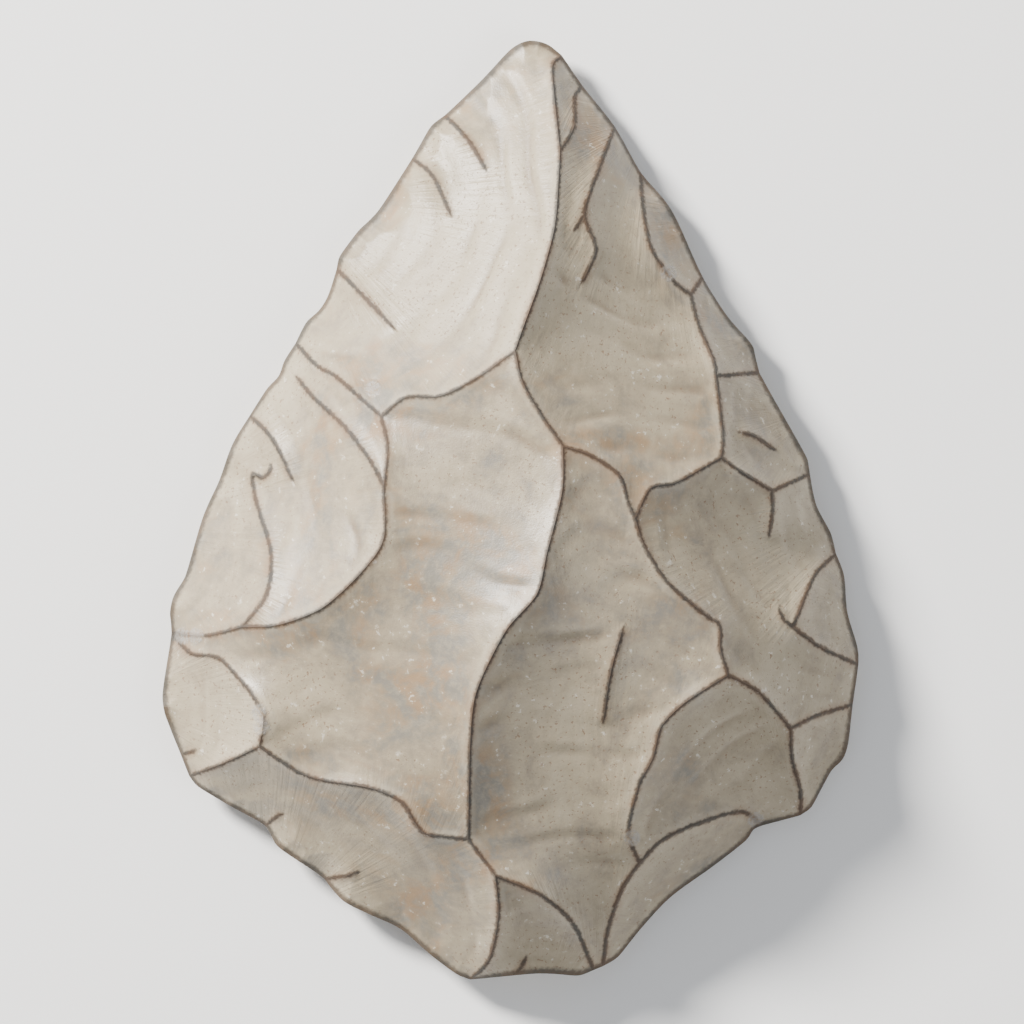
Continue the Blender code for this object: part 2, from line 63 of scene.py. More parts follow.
# Every ridge between scars, each from one named place to the next
arrises = dict(
    places=dict(  # r, b and l are places on the right edge, the butt and the left edge
        r1=(54, 485), r2=(76, 453), r3=(111, 409), r4=(139, 360), r5=(205, 249), r6=(266, 147),
        r7=(320, 39), r8=(348, -46), r9=(372, -165), r10=(366, -207), r11=(310, -325), r12=(269, -336),
        b1=(98, -486), b2=(88, -490), b3=(-44, -500), l1=(-200, -393), l2=(-345, -283),
        l3=(-364, -131), l4=(-280, 101), l5=(-231, 178), l6=(-187, 257), l7=(-106, 375), l8=(-71, 421),
        keelTop=(52, 382), keelFoot=(4, 169), crown=(55, 68), saddle=(132, -9), chipFoot=(192, 230),
        rimOne=(219, 143), rimTwo=(224, 56), rimThree=(279, 21), hip=(231, -175), hipRim=(299, -232),
        cheekRim=(301, -124), leftFork=(-139, 100), leftCrest=(-136, 26), leftRim=(-288, -124),
        heelBend=(-279, -192), heelRim=(-269, -251), heelCrest=(-46, -349), heelFork=(-17, -388),
        buttRim=(137, -375),
    ),
    walls=(
        ("r1", (44, 474), (46, 440), "keelTop"),
        ("keelTop", (50, 345), (46, 300), (31, 245), (13, 195), "keelFoot"),
        ("r2", (68, 440), (67, 408), "keelTop"),
        ("r4", (141, 322), (150, 278), (173, 245), "chipFoot"),
        ("chipFoot", "r5"),
        ("chipFoot", (200, 198), (216, 160), "rimOne"),
        ("rimOne", (226, 80), "rimTwo"),
        ("rimOne", "r6"),
        ("rimTwo", (206, 46), (175, 29), (148, 23), "saddle"),
        ("keelFoot", (12, 136), (34, 98), "crown"),
        ("crown", (85, 58), (115, 37), (125, 8), "saddle"),
        ("rimTwo", (250, 38), "rimThree"),
        ("rimThree", "r7"),
        ("saddle", (142, -38), (167, -77), (207, -111), (222, -122), (223, -147), "hip"),
        ("hip", (263, -192), "hipRim"),
        ("hipRim", (328, -218), "r10"),
        ("hipRim", (300, -262), (309, -297), "r11"),
        ("hip", (206, -190), (180, -208), (159, -231), (151, -262), (136, -292), (125, -340), "buttRim"),
        ("b1", (103, -448), (118, -403), "buttRim"),
        ("buttRim", (161, -351), (200, -333), (246, -321), "r12"),
        ("r8", (324, -70), "cheekRim"),
        ("cheekRim", (330, -145), "r9"),
        ("l5", (-208, 154), (-186, 141), "leftFork"),
        ("leftFork", (-112, 120), (-76, 121), (-36, 141), "keelFoot"),
        ("leftFork", (-132, 66), "leftCrest"),
        ("leftCrest", (-136, -30), (-160, -66), (-202, -104), (-250, -122), "leftRim"),
        ("leftRim", (-325, -133), "l3"),
        ("l3", (-343, -152), (-312, -158), "heelBend"),
        ("heelBend", (-265, -219), "heelRim"),
        ("heelRim", (-305, -268), "l2"),
        ("heelRim", (-228, -278), (-200, -287), (-150, -295), (-117, -310), (-94, -342), "heelCrest"),
        ("crown", (54, 20), (38, -45), (27, -89), (-6, -128), (-37, -192), (-44, -250), "heelCrest"),
        ("heelCrest", "heelFork"),
        ("heelFork", (-14, -432), (-24, -478), "b3"),
        ("heelFork", (30, -408), (66, -440), "b2"),
    ),
    spurs=(  # these die out inside a scar, at their last point
        ("r3", (92, 360), (78, 315), (90, 277), (72, 235)),
        ("rimThree", (279, -3), (274, -34)),
        ("leftCrest", (-150, 52), (-176, 87), (-212, 121), (-234, 147)),
        ("leftRim", (-262, -90), (-257, -45), (-273, 10), (-277, 38), (-266, 35), (-257, 45), (-261, 54)),
        ("l4", (-255, 75), (-231, 26)),
        ("l6", (-159, 229), (-121, 189)),
        ("l7", (-84, 356), (-62, 308)),
        ("l8", (-45, 393), (-24, 357)),
        ("l1", (-177, -389), (-158, -383)),
        ((121, -118), (106, -172), (97, -231)),
        ((237, 84), (258, 80), (287, 61)),
    ),
    ticks=(  # the shortest ones, which the solid leaves out
        ((1, -496), (10, -487), (15, -477), (19, -470)),
        ((-262, -335), (-250, -325), (-240, -322)),
        ((-352, -260), (-340, -256), (-336, -252)),
        ("cheekRim", (292, -117), (287, -107), (287, -96)),
        ((78, 315), (64, 293)),
    ),
    tension=0.85,  # how far a curve swings through its places
    curveStep=0.05 * millimetre,
    fewestSteps=4,  # between two places
    onLine=0.12 * millimetre,  # how near a line a corner of the solid's ridge lies
    crest=0.34 * millimetre,  # how far the scars fall away beside a ridge
    crestReach=1.15 * millimetre,  # how far from it they do
    rimReach=3.2 * millimetre,  # the same beside the rim, which stays steep
    tickStrength=0.9,
    fade=1.3 * millimetre,  # how far from its end a spur or a tick starts to die out
    fadeShare=0.4,  # at most, as a share of a short one
)

# Scars: a place inside, and the blow that its ripples spread from
scars = dict(
    worked=(
        ((-60, 300), (-230, 330)), ((59, 428), (90, 480)), ((130, 170), (150, 420)),
        ((168, 296), (230, 310)), ((230, 185), (280, 190)), ((262, 110), (330, 110)),
        ((230, -40), (400, 20)), ((340, -105), (400, -110)), ((332, -250), (400, -270)),
        ((220, -260), (330, -380)), ((185, -375), (210, -450)), ((60, -200), (90, -520)),
        ((25, -450), (30, -540)), ((-150, -370), (-260, -440)), ((-320, -210), (-420, -200)),
        ((-80, -100), (-160, -520)), ((-300, -60), (-410, -20)),
    ),
    plainBlow=(30, -520),  # the blow that struck the flake off, on the plain face
    rippleWave=0.12,  # length of a ripple, as a share of its scar's size
    rippleWaves=(1.3 * millimetre, 3.2 * millimetre),  # the least and the most that it may be
    rippleHeight=0.036,  # height of a ripple, as a share of its length
    rippleWarp=(0.35, 0.75),  # how far one strays on the plain face and in a worked scar, in its lengths
    warpWave=8 * millimetre,  # it strays in bends of about this size
    rippleStart=0.25,  # strength of the ripples next to the blow, which grows to 1
    rippleWiden=0.8,  # under 1, the ripples widen on their way out
    overtone=(0.3, 0.6),  # strength and start of the smaller wave on each ripple
    patchWave=5 * millimetre,  # the ripples come and go in patches of about this size
    patchStrength=(0.55, 1.3),  # in the mean, and its change
    patchMost=1.3,
    patchSeed=40,
    calm=(0.3 * millimetre, 2.2 * millimetre),  # from a ridge, where ripples start and where they are full
)

# The fine shape of the whole surface
surface = dict(
    sameSpot=0.001 * millimetre,  # corners nearer than this are one
    cuts=3,  # across each edge of the solid's facets
    fineReach=3.4 * millimetre,  # how far in from the rim the worked face is divided once more
    fineBeside=0.9 * millimetre,  # the same beside each spur and tick
    settleStep=0.5,  # how far a point moves to its neighbours' middle in one round of evening out
    settleRounds=14,  # over the whole flake
    rimRounds=3,  # along the rim
    lastRounds=2,  # in the scars
    fineRounds=3,  # on the finer skin
    swell=0.07 * millimetre,  # slow swells all over
    swellWave=7 * millimetre,
    swellSeed=3,
    ridgeNick=0.14 * millimetre,  # little nicks along the ridges
    ridgeNickWave=2.6 * millimetre,
    ridgeNickFrom=0.15,  # how strong the noise is where nicks start
    ridgeNickSeed=9,
    crush=0.05 * millimetre,  # fine crushing along the edge
    crushWave=0.9 * millimetre,
    crushReach=1.1 * millimetre,
    crushLow=0.4,  # how far the crushed edge lies under its even line, in heights of the noise
    crushSeed=21,
    followReach=6 * millimetre,  # how far in the plain face follows the rim's slow rise and fall
    nickReach=1.5 * millimetre,  # how far in it follows each nick
    nickSpan=3.5 * millimetre,  # how far along the edge nicks are evened out to find that rise and fall
    evenReach=2.5 * millimetre,  # how far in both faces swell together, so that the edge keeps its angle
)


def spot(across, along):  # a drawn place, in metres in the solid's frame
    shareAcross = (across - drawing["left"]) / (drawing["right"] - drawing["left"])
    shareAlong = (along - drawing["foot"]) / (drawing["tip"] - drawing["foot"])
    return np.array((
        solidLow.x + shareAcross * (solidHigh.x - solidLow.x),
        solidLow.y + shareAlong * (solidHigh.y - solidLow.y),
    ))


def curveThrough(stops):  # points about a curveStep apart on a smooth curve
    stops = [spot(*(arrises["places"][stop] if isinstance(stop, str) else stop)) for stop in stops]
    ends = [2 * stops[0] - stops[1], *stops, 2 * stops[-1] - stops[-2]]
    found = []
    for before, start, end, after in zip(ends, ends[1:], ends[2:], ends[3:]):
        leave = arrises["tension"] * (end - before) / 2
        arrive = arrises["tension"] * (after - start) / 2
        count = max(arrises["fewestSteps"], round(np.linalg.norm(end - start) / arrises["curveStep"]))
        for share in np.linspace(0, 1, count):  # a cubic with these ends and these slopes
            found.append((2 * share**3 - 3 * share**2 + 1) * start + (share**3 - 2 * share**2 + share) * leave
                         + (3 * share**2 - 2 * share**3) * end + (share**3 - share**2) * arrive)
    return np.array(found)


def linesOf(*kinds):  # the points of every line of these kinds
    return np.concatenate([curveThrough(line) for kind in kinds for line in arrises[kind]])


def treeOf(points):
    tree = kdtree.KDTree(len(points))
    for index, point in enumerate(points):
        tree.insert(point if len(point) == 3 else (*point, 0), index)
    tree.balance()
    return tree


def nearest(tree, points):  # the nearest point's index and distance, for each point
    found = [tree.find(point if len(point) == 3 else (*point, 0)) for point in points]
    return np.array([row[1] for row in found]), np.array([row[2] for row in found])


def smoothStep(low, high, value):
    share = np.clip((value - low) / (high - low), 0, 1)
    return share * share * (3 - 2 * share)


def noiseOf(points, wave, seed):  # soft noise from -1 to 1
    return np.array([noise.noise(Vector(point) / wave + Vector((seed, 0, 0))) for point in points])


def selectOnly(piece):
    bpy.ops.object.select_all(action="DESELECT")
    piece.select_set(True)
    bpy.context.view_layer.objects.active = piece


def copyOfSolid():
    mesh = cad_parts["side_scraper"].data.copy()
    mesh.name = "knappedFlake"
    flake = bpy.data.objects.new("knappedFlake", mesh)
    bpy.context.scene.collection.objects.link(flake)
    selectOnly(flake)
    bpy.ops.mesh.customdata_custom_splitnormals_clear()
    bpy.ops.object.mode_set(mode="EDIT")
    bpy.ops.mesh.select_all(action="SELECT")
    bpy.ops.mesh.remove_doubles(threshold=surface["sameSpot"])
    bpy.ops.object.mode_set(mode="OBJECT")
    return flake


def markRidges(flake):  # seams on the edges along each ridge and round the rim
    mesh = bmesh.new()
    mesh.from_mesh(flake.data)
    mesh.verts.ensure_lookup_table()
    upper = {face for face in mesh.faces if face.normal.z > 0}
    onTop = [vertex for vertex in mesh.verts if upper & {*vertex.link_faces}]
    plan = [(vertex.co.x, vertex.co.y, 0) for vertex in onTop]
    for line in (*arrises["walls"], *arrises["spurs"]):
        curve = curveThrough(line)
        order, gap = nearest(treeOf(curve), plan)
        near = {vertex: place for vertex, place, away in zip(onTop, order, gap) if away < arrises["onLine"]}
        chain = sorted(near, key=near.get)
        for start, end in zip(chain, chain[1:]):
            shared = [edge for edge in start.link_edges if edge.other_vert(start) == end]
            for edge in shared:
                edge.seam = True
    for edge in mesh.edges:
        if len({face in upper for face in edge.link_faces}) == 2:
            edge.seam = True
            edge.smooth = False
    mesh.to_mesh(flake.data)
    mesh.free()


def numberScars(flake):  # each face's scar: 0 is the plain face, and the worked face's scars follow
    mesh = bmesh.new()
    mesh.from_mesh(flake.data)
    mesh.faces.ensure_lookup_table()
    scar = mesh.faces.layers.int.new("scar")
    upper = [face for face in mesh.faces if face.normal.z > 0]
    middles = np.array([face.calc_center_median()[:2] for face in upper])
    for number, (inside, _) in enumerate(scars["worked"], 1):
        first = upper[int(np.linalg.norm(middles - spot(*inside), axis=1).argmin())]
        waiting = [first]
        first[scar] = number
        while waiting:
            for edge in waiting.pop().edges:
                for face in edge.link_faces:
                    if not edge.seam and face[scar] != number:
                        face[scar] = number
                        waiting.append(face)
    print("  faces in each scar", np.bincount([face[scar] for face in mesh.faces]))
    mesh.to_mesh(flake.data)
    mesh.free()


def readMesh(mesh):
    points = np.empty(len(mesh.vertices) * 3)
    mesh.vertices.foreach_get("co", points)
    edges = np.empty(len(mesh.edges) * 2, int)
    mesh.edges.foreach_get("vertices", edges)
    seams = np.empty(len(mesh.edges), bool)
    mesh.edges.foreach_get("use_seam", seams)
    sharp = np.empty(len(mesh.edges), bool)
    mesh.edges.foreach_get("use_edge_sharp", sharp)
    corners = np.empty(len(mesh.loops), int)
    mesh.loops.foreach_get("vertex_index", corners)
    scar = np.empty(len(mesh.polygons), int)
    mesh.attributes["scar"].data.foreach_get("value", scar)
    return points.reshape(-1, 3), edges.reshape(-1, 2), seams, sharp, corners.reshape(-1, 3), scar


def normalsOf(points, triangles):
    across = points[triangles[:, 1]] - points[triangles[:, 0]]
    along = points[triangles[:, 2]] - points[triangles[:, 0]]
    normals = np.zeros_like(points)
    for corner in range(3):
        np.add.at(normals, triangles[:, corner], np.cross(across, along))
    return normals / np.maximum(np.linalg.norm(normals, axis=1, keepdims=True), tiny)


def settle(points, edges, loose, rounds):  # moves each loose point towards its neighbours' middle
    for _ in range(rounds):
        totals = np.zeros_like(points)
        counts = np.zeros(len(points))
        for start, end in ((0, 1), (1, 0)):
            np.add.at(totals, edges[:, start], points[edges[:, end]])
            np.add.at(counts, edges[:, start], 1)
        points[loose] += surface["settleStep"] * (totals[loose] / counts[loose, None] - points[loose])


def settleFlake(points, edges, seams, sharp):  # evens out the facets, with each ridge on its drawn line
    ends = np.bincount(edges[seams].ravel(), minlength=len(points))
    rimEnds = np.bincount(edges[sharp].ravel(), minlength=len(points))
    onRidge, onRim = ends > 0, rimEnds > 0
    midRidge = (ends == 2) & ~onRim
    lines = linesOf("walls", "spurs")
    tree = treeOf(lines)
    for _ in range(surface["settleRounds"]):
        settle(points, edges, ~onRidge, 1)
        settle(points, edges[seams & ~sharp], midRidge, 1)
        points[midRidge, :2] = lines[nearest(tree, points[midRidge, :2])[0]]
    settle(points, edges[sharp], onRim & (ends == 2), surface["rimRounds"])
    settle(points, edges, ~onRidge, surface["lastRounds"])
    return onRidge, onRim


def divideFinely(flake, points, onRim, triangles, scar):  # a finer skin where small scars and lines are cut
    mesh = flake.data
    mesh.vertices.foreach_set("co", points.ravel())
    fine = nearest(treeOf(points[onRim]), points)[1] < surface["fineReach"]
    fine |= nearest(treeOf(linesOf("spurs", "ticks")), points[:, :2])[1] < surface["fineBeside"]
    selectOnly(flake)
    bpy.ops.object.mode_set(mode="EDIT")
    bpy.ops.mesh.select_mode(type="FACE")
    bpy.ops.mesh.select_all(action="DESELECT")
    bpy.ops.object.mode_set(mode="OBJECT")
    mesh.polygons.foreach_set("select", (scar > 0) & fine[triangles].all(axis=1))
    bpy.ops.object.mode_set(mode="EDIT")
    bpy.ops.mesh.subdivide(number_cuts=1)
    bpy.ops.mesh.select_all(action="SELECT")
    bpy.ops.mesh.quads_convert_to_tris()
    bpy.ops.object.mode_set(mode="OBJECT")


def rimPoints(points, edges, sharp):  # the rim's points in their order round the flake
    links = {}
    for start, end in edges[sharp]:
        links.setdefault(start, []).append(end)
        links.setdefault(end, []).append(start)
    loop = [min(links)]
    while len(loop) < len(links):
        fresh = [other for other in links[loop[-1]] if other not in loop[-2:]]
        loop.append(fresh[0])
    return np.array(loop)


# Small retouch scars along the edge, and crushed places by the ridges
retouch = dict(
    seed=41,
    evenSpan=2.6 * millimetre,  # how far along the edge its line is evened out to find the nicks
    nickDeep=0.05 * millimetre,  # the least dip that counts as a nick
    nickSize=(2.4 * millimetre, 4.2 * millimetre),  # the size of a scar in a nick
    smallSize=(1.1 * millimetre, 2.4 * millimetre),  # and of the ones between
    depth=(0.20, 0.31),  # as a share of the size
    spacing=(1.1, 1.9),  # to the next one, as a share of the size
    buttReach=0.09,  # the butt's share of the length, from the foot
    buttShare=0.35,  # how deep they are there, compared with the sides
    bruises=(
        (-270, -214), (-267, -230), (168, 253), (262, -330),
        (129, -348), (-148, 130), (-352, -134), (-338, -134),
    ),
    bruiseSize=1.05 * millimetre,
    bruiseDepth=0.16 * millimetre,
    bruiseRough=(0.6, 0.8),  # depth in the mean, and its change
    bruiseWave=0.5 * millimetre,
    bruiseSeed=5,
)


def evenedOut(values, rim, reach):  # values round the rim, each the mean of those within reach along it
    spacing = np.linalg.norm(np.diff(rim, axis=0), axis=1).mean()
    span = max(1, round(reach / spacing))
    return sum(np.roll(values, shift, axis=0) for shift in range(-span, span + 1)) / (2 * span + 1)


def nicksOf(rim, run):  # distances along the edge at which its line dips inwards most
    even = evenedOut(rim, rim, retouch["evenSpan"])
    dip = np.linalg.norm(even[:, :2], axis=1) - np.linalg.norm(rim[:, :2], axis=1)
    crests = (dip > np.roll(dip, 1)) & (dip >= np.roll(dip, -1)) & (dip > retouch["nickDeep"])
    return run[crests]


def retouchEdge(points, triangles, scar, loop, rimAway):  # little steep scars struck up from the plain face
    dice = random.Random(retouch["seed"])
    upper = np.unique(triangles[scar > 0])
    rim = points[loop]
    run = np.concatenate(([0], np.cumsum(np.linalg.norm(np.diff(rim, axis=0), axis=1))))
    blows = [(place, dice.uniform(*retouch["nickSize"])) for place in nicksOf(rim, run)]
    reached = 0.0
    while reached < run[-1]:
        blows.append((reached, dice.uniform(*retouch["smallSize"])))
        reached += blows[-1][1] * dice.uniform(*retouch["spacing"])
    hollow = np.zeros(len(upper))
    for place, size in blows:
        centre = np.array([np.interp(place, run, rim[:, axis]) for axis in range(3)])
        atButt = centre[1] < solidLow.y + retouch["buttReach"] * (solidHigh.y - solidLow.y)
        depth = size * dice.uniform(*retouch["depth"]) * (retouch["buttShare"] if atButt else 1)
        away = np.linalg.norm(points[upper] - centre, axis=1)
        aside = np.clip(away**2 - rimAway[upper]**2, 0, None) / size**2
        hollow = np.maximum(hollow, depth * (1 - aside - rimAway[upper] / size))
    points[upper, 2] -= hollow
    print("  retouch scars", len(blows))


def bruisedShare(points):  # 1 in the middle of a crushed place, 0 away from all of them
    middles = [spot(*place) for place in retouch["bruises"]]
    away = nearest(treeOf(middles), points[:, :2])[1]
    return np.clip(1 - (away / retouch["bruiseSize"])**2, 0, 1)


def bruise(points, triangles, scar):
    upper = np.unique(triangles[scar > 0])
    mean, change = retouch["bruiseRough"]
    rough = mean + change * noiseOf(points[upper], retouch["bruiseWave"], retouch["bruiseSeed"])
    points[upper, 2] -= retouch["bruiseDepth"] * bruisedShare(points[upper]) * rough


def strengthAlong(kind, line, curve):  # how strongly a line stands out, at each of its points
    if kind == "walls":
        return np.ones(len(curve))
    run = np.concatenate(([0], np.cumsum(np.linalg.norm(np.diff(curve, axis=0), axis=1))))
    fade = min(arrises["fade"], arrises["fadeShare"] * run[-1])
    strength = smoothStep(0, fade, run[-1] - run)
    if kind == "ticks":
        return arrises["tickStrength"] * strength
    return strength if isinstance(line[0], str) else strength * smoothStep(0, fade, run)


def nearLines(points):  # each point's distance in plan from a drawn line, and that line's strength there
    curves, strengths = [], []
    for kind in ("walls", "spurs", "ticks"):
        for line in arrises[kind]:
            curves.append(curveThrough(line))
            strengths.append(strengthAlong(kind, line, curves[-1]))
    order, away = nearest(treeOf(np.concatenate(curves)), points[:, :2])
    return away, np.concatenate(strengths)[order]


def raiseCrests(points, triangles, scar, rimAway):  # the scars fall away beside each ridge
    upper = np.unique(triangles[scar > 0])
    away, strength = nearLines(points[upper])
    crest = np.maximum(strength * np.exp(-away / arrises["crestReach"]),
                       np.exp(-rimAway[upper] / arrises["rimReach"]))
    points[upper, 2] -= arrises["crest"] * (1 - crest)


def followRim(points, before, triangles, scar, loop, rimAway):  # the plain face keeps to the chipped rim
    plain = np.unique(triangles[scar == 0])
    plain = plain[(rimAway[plain] < surface["followReach"]) & (rimAway[plain] > 0)]
    order, _ = nearest(treeOf(before[loop]), before[plain])
    moved = points[loop] - before[loop]
    even = evenedOut(moved, before[loop], surface["nickSpan"])
    far = smoothStep(surface["followReach"], 0, rimAway[plain])[:, None]
    near = smoothStep(surface["nickReach"], 0, rimAway[plain])[:, None]
    points[plain] += even[order] * far + (moved - even)[order] * near


def ripple(points, triangles, scar, ridgeAway):  # the waves that a blow leaves in its scar
    normals = normalsOf(points, triangles)
    areas = np.linalg.norm(np.cross(points[triangles[:, 1]] - points[triangles[:, 0]],
                                    points[triangles[:, 2]] - points[triangles[:, 0]]), axis=1) / 2
    lift = np.zeros(len(points))
    for number in range(len(scars["worked"]) + 1):
        blow = scars["plainBlow"] if number == 0 else scars["worked"][number - 1][1]
        inScar = np.unique(triangles[scar == number])
        size = math.sqrt(areas[scar == number].sum())
        wave = float(np.clip(scars["rippleWave"] * size, *scars["rippleWaves"]))
        reach = np.linalg.norm(points[inScar, :2] - spot(*blow), axis=1)
        warp = scars["rippleWarp"][min(number, 1)] * wave
        reach = reach + warp * noiseOf(points[inScar], scars["warpWave"], number)
        way = (reach - reach.min()) / (reach.max() - reach.min())
        strength = scars["rippleStart"] + (1 - scars["rippleStart"]) * way
        mean, change = scars["patchStrength"]
        patches = mean + change * noiseOf(points[inScar], scars["patchWave"], number + scars["patchSeed"])
        strength = strength * np.clip(patches, 0, scars["patchMost"])
        phase = 2 * math.pi * size / wave * (np.clip(reach, 0, None) / size)**scars["rippleWiden"]
        small, start = scars["overtone"]
        form = np.sin(phase) + small * np.sin(2 * phase + start)
        calm = smoothStep(*scars["calm"], ridgeAway[inScar])
        lift[inScar] = scars["rippleHeight"] * wave * strength * form * calm
    points += normals * lift[:, None]


def roughen(points, triangles, onRidge, onRim, rimAway):  # swells, nicks on the ridges, crushing on the edge
    normals = normalsOf(points, triangles)
    swell = surface["swell"] * noiseOf(points, surface["swellWave"], surface["swellSeed"])
    nicks = noiseOf(points, surface["ridgeNickWave"], surface["ridgeNickSeed"]) - surface["ridgeNickFrom"]
    nicks = np.clip(nicks, 0, 1) * surface["ridgeNick"]
    crushed = smoothStep(surface["crushReach"], 0, rimAway) * surface["crush"]
    crushed = crushed * (noiseOf(points, surface["crushWave"], surface["crushSeed"]) - surface["crushLow"])
    upright = smoothStep(surface["evenReach"], 0, rimAway)[:, None]
    normals = normals * (1 - upright) + np.array((0, 0, 1)) * upright
    points += normals * (swell + crushed - nicks * onRidge * ~onRim)[:, None]


def keepInBox(points):  # the plain face stays on the surface, and the flake in its own box
    points[:, 2] = np.clip(points[:, 2], solidLow.z, None)
    low, high = np.array(solidLow), np.array(solidHigh)
    for axis in range(2):
        least, most = points[:, axis].min(), points[:, axis].max()
        points[:, axis] = low[axis] + (points[:, axis] - least) * (high[axis] - low[axis]) / (most - least)


# What the finish reads, point by point
masks = dict(
    farAway=9 * millimetre,  # from every ridge, for the plain face
    calmRounds=30,
    hollowScale=0.2 * millimetre,
    toneSeed=8,
)


def saveAttribute(mesh, name, domain, values):
    attribute = mesh.attributes.new(name, "FLOAT", domain)
    attribute.data.foreach_set("value", np.asarray(values, np.float32))


def saveMasks(mesh, points, edges, triangles, scar, rimAway):
    away, strength = nearLines(points)
    under = np.ones(len(points), bool)
    under[np.unique(triangles[scar > 0])] = False
    away[under] = masks["farAway"]
    saveAttribute(mesh, "ridgeNear", "POINT", away / millimetre)
    saveAttribute(mesh, "ridgeFade", "POINT", strength)
    saveAttribute(mesh, "bruised", "POINT", bruisedShare(points) * ~under)
    saveAttribute(mesh, "rimNear", "POINT", rimAway / millimetre)
    calm = points.copy()  # what lies under the evened surface is hollow
    settle(calm, edges, np.ones(len(points), bool), masks["calmRounds"])
    hollow = ((calm - points) * normalsOf(points, triangles)).sum(1)
    saveAttribute(mesh, "hollow", "POINT", np.clip(hollow / masks["hollowScale"], -1, 1))
    # How far each corner lies from its scar's blow, how far round it, and the scar's own tone
    blows = np.array([spot(*scars["plainBlow"])] + [spot(*blow) for _, blow in scars["worked"]])
    tones = np.random.default_rng(masks["toneSeed"]).uniform(-1, 1, len(blows))
    offset = points[triangles.ravel(), :2] - np.repeat(blows[scar], 3, axis=0)
    inScars = [np.unique(triangles[scar == number]) for number in range(len(blows))]
    middles = np.array([points[inScar, :2].mean(0) for inScar in inScars])
    ahead = np.repeat((middles - blows)[scar], 3, axis=0)
    sideways = ahead[:, 0] * offset[:, 1] - ahead[:, 1] * offset[:, 0]
    saveAttribute(mesh, "reach", "CORNER", np.linalg.norm(offset, axis=1) / millimetre)
    saveAttribute(mesh, "turn", "CORNER", np.arctan2(sideways, (ahead * offset).sum(1)))
    saveAttribute(mesh, "tone", "CORNER", np.repeat(tones[scar], 3))


def shapeFlake():
    flake = copyOfSolid()
    markRidges(flake)
    numberScars(flake)
    selectOnly(flake)
    bpy.ops.object.mode_set(mode="EDIT")
    bpy.ops.mesh.select_all(action="SELECT")
    bpy.ops.mesh.subdivide(number_cuts=surface["cuts"])
    bpy.ops.object.mode_set(mode="OBJECT")
    mesh = flake.data
    points, edges, seams, sharp, triangles, scar = readMesh(mesh)
    print("stage 2: the surface is divided into", len(triangles), "triangles")
    onRidge, onRim = settleFlake(points, edges, seams, sharp)
    divideFinely(flake, points, onRim, triangles, scar)
    points, edges, seams, sharp, triangles, scar = readMesh(mesh)
    print("  with its finer parts", len(triangles), "triangles")
    onRidge = np.bincount(edges[seams].ravel(), minlength=len(points)) > 0
    onRim = np.bincount(edges[sharp].ravel(), minlength=len(points)) > 0
    settle(points, edges, ~onRidge, surface["fineRounds"])
    ridgeAway = nearest(treeOf(points[onRidge]), points)[1]
    rimAway = nearest(treeOf(points[onRim]), points)[1]
    loop = rimPoints(points, edges, sharp)
    before = points.copy()
    raiseCrests(points, triangles, scar, rimAway)
    ripple(points, triangles, scar, ridgeAway)
    retouchEdge(points, triangles, scar, loop, rimAway)
    bruise(points, triangles, scar)
    followRim(points, before, triangles, scar, loop, rimAway)
    roughen(points, triangles, onRidge, onRim, rimAway)
    keepInBox(points)
    mesh.vertices.foreach_set("co", points.ravel())
    print("stage 3: ripples, retouch and bruises are cut")
    saveMasks(mesh, points, edges, triangles, scar, rimAway)
    mesh.shade_smooth()
    mesh.edges.foreach_set("use_edge_sharp", seams)
    mesh.attributes.remove(mesh.attributes["scar"])
    return flake


class Wire:  # one output of a shader node; sums on wires add Math nodes
    def __init__(self, tree, socket=None):
        self.tree = tree
        self.socket = socket

    def node(self, kind, settings=None, inputs=None, output=0):
        made = self.tree.nodes.new(kind)
        for name, value in (settings or {}).items():
            if name == "stops":
                ramp = made.color_ramp.elements
                ramp.remove(ramp[1])
                ramp[0].position = value[0][0]
                ramp[0].color = (*value[0][1], 1)
                for position, colour in value[1:]:
                    ramp.new(position).color = (*colour, 1)
            else:
                setattr(made, name, value)
        for name, value in (inputs or {}).items():
            if isinstance(value, Wire):
                self.tree.links.new(value.socket, made.inputs[name])
            else:
                made.inputs[name].default_value = value
        return Wire(self.tree, made.outputs[output])

    def maths(self, operation, first, second):
        return self.node("ShaderNodeMath", {"operation": operation}, {0: first, 1: second})

    def __add__(self, other):
        return self.maths("ADD", self, other)

    def __radd__(self, other):
        return self.maths("ADD", other, self)

    def __sub__(self, other):
        return self.maths("SUBTRACT", self, other)

    def __rsub__(self, other):
        return self.maths("SUBTRACT", other, self)

    def __mul__(self, other):
        return self.maths("MULTIPLY", self, other)

    def __rmul__(self, other):
        return self.maths("MULTIPLY", other, self)

    def step(self, low, high):  # 0 at low, 1 at high and beyond, smooth between, and low may be the greater
        return self.node("ShaderNodeMapRange", {"interpolation_type": "SMOOTHSTEP"},
                         {0: self, 1: low, 2: high, 3: 0.0, 4: 1.0})

    def over(self, lower, upper):  # the upper colour over the lower one; the node's colours are 6, 7 and 2
        return self.node("ShaderNodeMix", {"data_type": "RGBA"}, {0: self, 6: lower, 7: upper}, 2)


